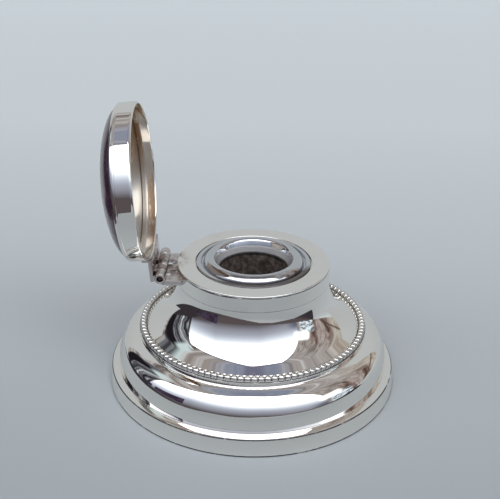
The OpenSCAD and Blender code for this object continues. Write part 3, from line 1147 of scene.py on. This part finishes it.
@dataclass
class Lid:
    """The hinged lid: a band, a worn gilt lining and a polished dome in a bezel."""

    outer_r: float = 31.09
    wall: float = 1.0
    band_h: float = 6.4
    rim_gap: float = 0.15
    step_w: float = 1.2
    step_depth: float = 3.8
    lining_t: float = 0.5
    lining_rise: float = 3.0
    lining_clear: float = 0.1
    dome_rise: float = 9.2
    dome_t: float = 1.8
    bezel_h: float = 1.6
    bezel_w: float = 0.85
    rim_round: float = 1.1

    def __post_init__(self) -> None:
        """Works out the heights that the pieces share, with the lid closed."""
        self.rim_z = LAYOUT.collar_z + self.rim_gap
        self.top_z = self.rim_z + self.band_h
        self.inner_r = self.outer_r - self.wall
        self.lining_z = self.top_z - 0.3 - self.lining_t

    def cap(self, radius: float, base: float, rise: float) -> Points:
        """A shallow cap of a ball from its edge to the axis.

        The ball's radius is (r^2 + rise^2) / (2 rise).

        Args:
            radius: Radius at the edge.
            base: Height of the edge.
            rise: Height of the crown above it.

        Returns:
            Points from the edge to the axis.
        """
        ball = (radius * radius + rise * rise) / (2 * rise)
        edge = math.degrees(math.asin((ball - rise) / ball))
        return arc((0.0, base + rise - ball), (ball, ball), edge, 90, 30)

    def band(self) -> Shell:
        """The outer band, with its rolled rim and a soft edge under the bezel."""
        rim, top, nose = self.rim_z, self.top_z, self.wall - 0.15
        profile = outline(
            arc((self.outer_r - nose, rim + self.rim_round), (nose, self.rim_round), -90, 0, 16),
            arc((self.outer_r - 0.06, top - 0.06), (0.06, 0.06), 10, 90, 3),
            [(self.inner_r, top)],
            [(self.inner_r, rim + 0.15)],
        )
        return turned(filled_in(profile, 0.5), Axis.LID)

    def seat_ring(self) -> Shell:
        """The step inside the band. It stays above the collar plate when the lid is shut."""
        foot, top = self.rim_z + self.step_depth, self.lining_z
        inner, outer = self.inner_r - self.step_w, self.inner_r
        corners = outline([(inner, foot), (outer, foot), (outer, top), (inner, top)])
        radii = np.array([0.3, 0.05, 0.05, 0.1])
        return turned(filled_in(softened(corners, radii), 0.6), Axis.LID)

    def lining(self) -> Shell:
        """The thin dished lining of the lid."""
        radius = self.inner_r - self.lining_clear
        upper = self.cap(radius, self.lining_z + self.lining_t, self.lining_rise)
        lower = self.cap(radius, self.lining_z, self.lining_rise)[::-1]
        return turned(outline(upper, lower), Axis.LID)

    def dome(self) -> Shell:
        """The dome: half an ellipse that stands upright at its edge, with a hollow back."""
        radius = self.inner_r + 0.1
        outer = arc((0.0, self.top_z), (radius, self.dome_rise), 0, 90, 64)
        hollow = (radius - self.dome_t, self.dome_rise - self.dome_t)
        inner = arc((0.0, self.top_z), hollow, 90, 0, 24)
        return turned(outline(outer, inner), Axis.LID)

    def bezel(self) -> Shell:
        """The rounded ring that holds the dome: its inner side follows the dome's ellipse."""
        outer_r, base = self.outer_r - 0.05, self.top_z
        outer = arc((outer_r - self.bezel_w, base), (self.bezel_w, self.bezel_h), 0, 78, 14)
        h = np.linspace(self.bezel_h, 0, 5)
        inner_r = (self.inner_r + 0.1) * np.sqrt(1 - (h / self.dome_rise) ** 2) + 0.04
        return turned(outline(outer, np.column_stack([inner_r, base + h])), Axis.LID)

    def build(self, finishes: Finishes) -> None:
        """Adds the lid's pieces and dresses the bed behind the dome."""
        piece("lid_band_spun", self.band(), finishes.band, "lid", "silver", "lid_band")
        piece("lid_seat_step", self.seat_ring(), finishes.gilt, "lid", "gilt", "lid_seat_ring")
        piece("lid_lining_dished", self.lining(), finishes.gilt, "lid", "gilt", "lid_lining")
        piece("lid_dome_polished", self.dome(), finishes.shell, "lid", "dark_dome", "lid_dome")
        piece("dome_bezel_rolled", self.bezel(), finishes.band, "lid", "silver", "dome_bezel")
        dressed(finishes.pitch, "dome_bed")


@dataclass
class Underside:
    """The pitch filling, the wooden board and the baize that the stand rests on."""

    baize_r: float = 57.4
    baize_t: float = 0.8

    def baize(self) -> Shell:
        """The cut disc of baize, with a soft edge."""
        corners = outline(
            [(0.0, 0.0), (self.baize_r, 0.0), (self.baize_r, self.baize_t), (0.0, self.baize_t)]
        )
        return turned(filled_in(softened(corners, np.array([0, 0.25, 0.2, 0])), 2.5), segments=144)

    def build(self, finishes: Finishes) -> None:
        """Adds the baize and dresses the board and the filling."""
        felt = piece("baize_disc", self.baize(), finishes.felt, "stand", "baize", "base_baize")
        dressed(finishes.wood, "base_board")
        dressed(finishes.pitch, "base_filling")


# ---------------------------------------------------------------- studio


def staged(
    name: str, vertices: Points, faces: Points, finish: bpy.types.Material, seen: bool
) -> None:
    """Adds a piece of the surroundings.

    Args:
        name: Its name.
        vertices: Its vertices in metres.
        faces: Its faces.
        finish: Its material.
        seen: Whether the camera sees it. If not, it shows in reflections alone.
    """
    mesh = bpy.data.meshes.new(name)
    mesh.from_pydata(vertices.tolist(), [], faces.tolist())
    mesh.polygons.foreach_set("use_smooth", np.ones(len(mesh.polygons), bool))
    mesh.materials.append(finish)
    made = bpy.data.objects.new(name, mesh)
    bpy.context.scene.collection.objects.link(made)
    if not seen:
        made.visible_camera = made.visible_diffuse = made.visible_shadow = False


@dataclass
class Studio:
    """A pale sheet with a sweep behind it, one large soft window in front, and the camera."""

    camera_at: tuple[float, float, float] = (0.0016523, -0.3352467, 0.2201417)
    pitch: float = 0.4525024
    yaw: float = -0.0094772
    roll: float = 0.0142961
    lens: float = 66.4734
    sensor: float = 36.0
    floor_half: float = 6.0
    sweep_from: float = 0.120
    sweep_r: float = 0.075
    sweep_top: float = 0.300
    sweep_half: float = 0.30
    screen_r: float = 0.138
    screen_z: float = 0.01794
    screen_h: tuple[float, float] = (0.008, 0.026)
    screen_span: tuple[float, float] = (-80.0, -44.0)
    screen_gap: int = 3

    def camera(self) -> None:
        """Places the camera: its right, up and backward directions are the columns of its frame."""
        cp, sp, cy, sy = (f(v) for v in (self.pitch, self.yaw) for f in (math.cos, math.sin))
        ahead = np.array([sy * cp, cy * cp, -sp])
        right = np.array([cy, -sy, 0.0])
        up = np.cross(right, ahead)
        cr, sr = math.cos(self.roll), math.sin(self.roll)
        right, up = cr * right + sr * up, cr * up - sr * right
        lens = bpy.data.cameras.new("camera")
        lens.lens, lens.sensor_width, lens.sensor_fit = self.lens, self.sensor, "HORIZONTAL"
        lens.clip_start, lens.clip_end = 0.01, 50.0
        made = bpy.data.objects.new("camera", lens)
        turn = np.column_stack([right, up, -ahead])
        made.matrix_world = Matrix.Translation(self.camera_at) @ Matrix(turn.tolist()).to_4x4()
        bpy.context.scene.collection.objects.link(made)
        bpy.context.scene.camera = made

    def sheet(self) -> None:
        """The floor: a pale sheet with painted light, and a painted dark room beyond it for metal.
        """
        made, g = material("pale_floor")
        x, y, _ = g.parts(g.coordinates())
        # Painted light: the sheet's colour is graded from front to back, darker in a band before
        # the stand and paler ahead and behind it.
        tone = g.ramp(
            (y + 0.7) / 1.5,
            (0.02, (0.46, 0.475, 0.485)),
            (0.26, (0.46, 0.475, 0.485)),
            (0.32, (0.372, 0.398, 0.412)),
            (0.39, (0.367, 0.397, 0.411)),
            (0.545, (0.510, 0.545, 0.556)),
            (0.689, (0.600, 0.640, 0.650)),
            (0.98, (0.630, 0.680, 0.690)),
        )
        paper = g.node("ShaderNodeBsdfDiffuse", {}, {"Color": tone})
        # The sheet's left edge slants inwards to the front. Its right edge slants outwards, and
        # behind the middle of the stand it has none.
        left = (-0.06 - y).most(0.0) * 0.56 - 0.178
        right = (-0.02 - y).most(0.0).least(0.18) * 0.6 + y.rises(-0.01, 0.02) * 6 + 0.200
        inside = x.rises(left - 0.003, left + 0.003) * (1 - x.rises(right - 0.003, right + 0.003))
        inside = inside * y.rises(-0.62, -0.52)
        mirrored = g.node("ShaderNodeLightPath", output="Is Glossy Ray")
        # Painted reflection: beyond the sheet, metal sees a glowing dark colour for the room,
        # darker towards the back.
        painted_room_reflection = g.blend(y.rises(-0.25, -0.05), (0.095, 0.080, 0.086), (0.036, 0.032, 0.038))
        g.finished(g.mixed((1 - inside) * mirrored, paper, g.glow(painted_room_reflection)))
        corners = np.array([(-1.0, -1.0, 0.0), (1.0, -1.0, 0.0), (1.0, 1.0, 0.0), (-1.0, 1.0, 0.0)])
        staged("floor", corners * self.floor_half, np.array([(0, 1, 2, 3)]), made, True)

    def sweep(self) -> None:
        """The sheet's rise behind the stand: flat, a quarter turn and a wall, for metal only.

        Across, it is a straight line; along, it is the arc (y0 + R sin a, R - R cos a).
        """
        made, g = material("pale_sweep")
        # Painted light: the sweep glows in place of lit paper, paler upwards.
        _, _, z = g.parts(g.coordinates())
        tone = g.blend(z.rises(0.0, 0.2), (0.46, 0.49, 0.51), (0.50, 0.53, 0.55))
        g.finished(g.glow(tone))
        a = np.linspace(0, math.pi / 2, 13)
        y = np.append(self.sweep_from + self.sweep_r * np.sin(a), self.sweep_from + self.sweep_r)
        z = np.append(self.sweep_r - self.sweep_r * np.cos(a) + 0.0005, self.sweep_top)
        x = np.array([-self.sweep_half, self.sweep_half])
        grid = np.stack(np.broadcast_arrays(x[None, :], y[:, None], z[:, None]), -1)
        ids = np.arange(grid.size // 3).reshape(grid.shape[:2])
        faces = np.stack([ids[:-1, 0], ids[:-1, 1], ids[1:, 1], ids[1:, 0]], -1)
        staged("sweep", grid.reshape(-1, 3), faces, made, False)

    def screen(self) -> None:
        """A dark strip low on the left, for metal only, whose top climbs to the front.

        Its foot is the arc (R sin a, -R cos a) at a fixed height, and its top is a line over it.
        """
        made, g = material("dark_screen")
        # Painted reflection: a glowing dark mottled strip, for dark things in the room that metal
        # sees.
        glow_mottle = g.noise(g.coordinates(), 60, 3, 0.6)
        tone = g.blend(glow_mottle.rises(0.35, 0.65), (0.030, 0.018, 0.038), (0.060, 0.046, 0.080))
        g.finished(g.glow(tone))
        a, t = np.radians(np.linspace(*self.screen_span, 13)), np.linspace(0, 1, 13)
        x, y = self.screen_r * np.sin(a), -self.screen_r * np.cos(a)
        low, high = self.screen_h
        foot = np.stack([x, y, self.screen_z + 0 * t], -1)
        top = np.stack([x, y, self.screen_z + low + (high - low) * t], -1)
        k = np.delete(np.arange(12), self.screen_gap)
        faces = np.column_stack([k, k + 1, k + 14, k + 13])
        staged("screen", np.concatenate([foot, top]), faces, made, False)

    def room(self) -> None:
        """The world: pale to the camera, and to everything else a room with one large window.

        azimuth is 0 in front of the stand and grows to its right, and height is the angle above
        the horizon, both in degrees.
        """
        world = bpy.data.worlds.new("room")
        bpy.context.scene.world = world
        world.use_nodes = True
        g = Graph(world.node_tree)
        x, y, z = g.parts(g.coordinates("Generated"))
        degree = 180 / math.pi
        azimuth = g.node("ShaderNodeMath", {"operation": "ARCTAN2"}, {0: x, 1: y * -1}) * degree
        height = g.node("ShaderNodeMath", {"operation": "ARCSINE"}, {0: z}) * degree
        colour = self.walls(g, x, height)
        for layer in (self.front, self.left, self.right, self.window):
            colour = layer(g, azimuth, height, colour)
        pale = g.node("ShaderNodeBackground", {}, {0: (0.515, 0.565, 0.600, 1), 1: 1.0})
        lit = g.node("ShaderNodeBackground", {}, {0: colour, 1: 1.0})
        seen = g.node("ShaderNodeLightPath", output="Is Camera Ray")
        g.node("ShaderNodeOutputWorld", {}, {0: g.mixed(seen, lit, pale)})

    @staticmethod
    def walls(g: Graph, side: Value, height: Value) -> Value:
        """Grey walls that turn to a cooler ceiling, with streaks that follow the window's top."""
        rise = height + side * side * 12
        streak = g.noise(g.vector(side * 0.4, rise * 0.17, 0.0), 1.0, 4, 0.65)
        wall = g.ramp(
            streak,
            (0.34, (0.12, 0.10, 0.10)),
            (0.44, (0.30, 0.275, 0.27)),
            (0.56, (0.43, 0.42, 0.43)),
            (0.68, (0.68, 0.71, 0.74)),
        )
        ceiling = g.blend(streak.rises(0.36, 0.64), (0.185, 0.215, 0.31), (0.29, 0.32, 0.41))
        return g.blend(height.rises(64, 76), wall, ceiling)

    @staticmethod
    def front(g: Graph, azimuth: Value, height: Value, colour: Value) -> Value:
        """The wall under the window: dark at the horizon and paler upwards, sooner at its ends."""
        up = height + (azimuth - 10).most(0.0) * 0.20 + (-50 - azimuth).most(0.0) * 0.35
        shade = g.ramp(
            (up + 6) / 46,
            (0.0, (0.070, 0.055, 0.062)),
            (0.10, (0.105, 0.098, 0.115)),
            (0.174, (0.15, 0.145, 0.17)),
            (0.283, (0.24, 0.25, 0.31)),
            (0.39, (0.32, 0.34, 0.41)),
            (0.50, (0.38, 0.42, 0.52)),
            (0.61, (0.53, 0.59, 0.72)),
            (0.717, (0.78, 0.86, 1.0)),
            (0.85, (1.2, 1.28, 1.42)),
            (1.0, (2.5, 2.6, 2.7)),
        )
        low = azimuth.rises(44, 60) * (1 - height.rises(2, 14))
        shade = g.blend(low * 0.9, shade, (0.105, 0.115, 0.17))
        left = (1 - azimuth.rises(-62, -50)) * (1 - height.rises(-2, 7))
        shade = g.blend(left * 0.9, shade, (0.050, 0.038, 0.056))
        zone = azimuth.within(-89, 70, 1.2) * (1 - height.rises(37, 39))
        return g.blend(zone, colour, shade)

    @staticmethod
    def left(g: Graph, azimuth: Value, height: Value, colour: Value) -> Value:
        """Tall dark and pale stripes that lean to the window, with a pale patch over them."""
        lean = azimuth - height.most(0.0) ** 2 * 0.006
        wave = g.noise(g.vector(azimuth * 0.03, height * 0.05, 5.0), 1.0, 2, 0.6) * 14
        bars = g.noise(g.vector((lean + wave) * 0.15, height * 0.010, 3.1), 1.0, 3, 0.7)
        striped = g.ramp(
            bars,
            (0.36, (0.018, 0.018, 0.022)),
            (0.46, (0.075, 0.075, 0.095)),
            (0.55, (0.26, 0.28, 0.31)),
            (0.64, (0.72, 0.82, 0.84)),
        )
        striped = g.blend(lean.within(-127, -117, 1.0), striped, (0.012, 0.011, 0.014))
        striped = g.blend(lean.within(-93, -89, 1.0), striped, (0.030, 0.028, 0.034))
        zone = azimuth.within(-126, -89, 0.8) * height.within(-14, 47, 2)
        colour = g.blend(zone, colour, striped)
        patch = azimuth.within(-113, -94, 4) * height.within(38, 50, 3)
        return g.blend(patch * 0.8, colour, (0.72, 0.88, 0.92))

    @staticmethod
    def right(g: Graph, azimuth: Value, height: Value, colour: Value) -> Value:
        """Brown furniture with dark streaks, pale blotches beside the window, and a beige wall."""
        streak = g.noise(g.vector(azimuth * 0.13, height * 0.035, 7.7), 1.0, 4, 0.7, 0.8)
        grey = g.blend(streak.rises(0.34, 0.62), (0.20, 0.17, 0.16), (0.45, 0.43, 0.43))
        brown = g.ramp(
            streak,
            (0.34, (0.055, 0.030, 0.027)),
            (0.46, (0.17, 0.115, 0.10)),
            (0.56, (0.32, 0.27, 0.26)),
            (0.66, (0.48, 0.45, 0.45)),
        )
        colour = g.blend(azimuth.within(63, 116, 2) * (1 - height.rises(44, 66)), colour, grey)
        near = azimuth.within(82, 117, 4) * (1 - height.rises(28, 46))
        colour = g.blend(near, colour, brown)
        beige = g.blend(streak.rises(0.35, 0.6), (0.33, 0.28, 0.24), (0.49, 0.47, 0.44))
        colour = g.blend(azimuth.within(116, 152, 5) * (1 - height.rises(35, 62)), colour, beige)
        curve = height - 14 - (azimuth - 122) * 0.65
        wire = (1 - abs(curve).rises(0.8, 2.4)) * azimuth.within(102, 136, 1)
        colour = g.blend(wire * 0.8, colour, (0.085, 0.060, 0.045))
        spots = g.noise(g.vector(azimuth * 0.30, height * 0.30, 1.3), 1.0, 3, 0.7).rises(0.42, 0.56)
        blotches = g.blend(spots, (0.17, 0.20, 0.24), (0.85, 0.98, 1.10))
        colour = g.blend(azimuth.within(67, 88, 2) * height.within(-5, 15, 2), colour, blotches)
        low = azimuth.within(73, 100, 1.5) * (1 - height.rises(-5, -2))
        colour = g.blend(low, colour, (0.040, 0.040, 0.045))
        glow = azimuth.within(58, 79, 3) * height.within(15, 27, 4)
        return g.blend(glow, colour, (1.9, 2.0, 2.1))

    @staticmethod
    def window(g: Graph, azimuth: Value, height: Value, colour: Value) -> Value:
        """The window: bright, with a bowed top edged in shadow, and a lower wing on its left."""
        bow = azimuth.least(0.0) ** 2 * 0.0052 + azimuth.most(0.0) ** 2 * 0.003
        top = 79.5 - bow
        edge = azimuth.within(-80, 66, 3) * height.within(52, 90, 4)
        colour = g.blend(edge * (1 - height.rises(top + 1, top + 6)), colour, (0.15, 0.155, 0.23))
        pane = azimuth.within(-88, 63, 1.0) * height.rises(36, 39)
        pane = pane * (1 - height.rises(top - 0.8, top + 0.8))
        return g.blend(pane, colour, (2.55, 2.60, 2.70))

    def build(self) -> None:
        """Adds the camera, the sheet, its sweep, the screen and the room."""
        self.camera()
        self.sheet()
        self.sweep()
        self.screen()
        self.room()
        bpy.context.scene.view_settings.view_transform = "Standard"


def main() -> None:
    logging.basicConfig(level=logging.INFO, format="%(message)s")
    finishes = Finishes()
    builders: list[Callable[[Finishes], None]] = [
        made.build for made in (SpunBody(), Collar(), GlassWell(), Hinge(), Lid(), Underside())
    ]
    for build in builders:
        build(finishes)
    Studio().build()


if __name__ == "__main__":
    main()
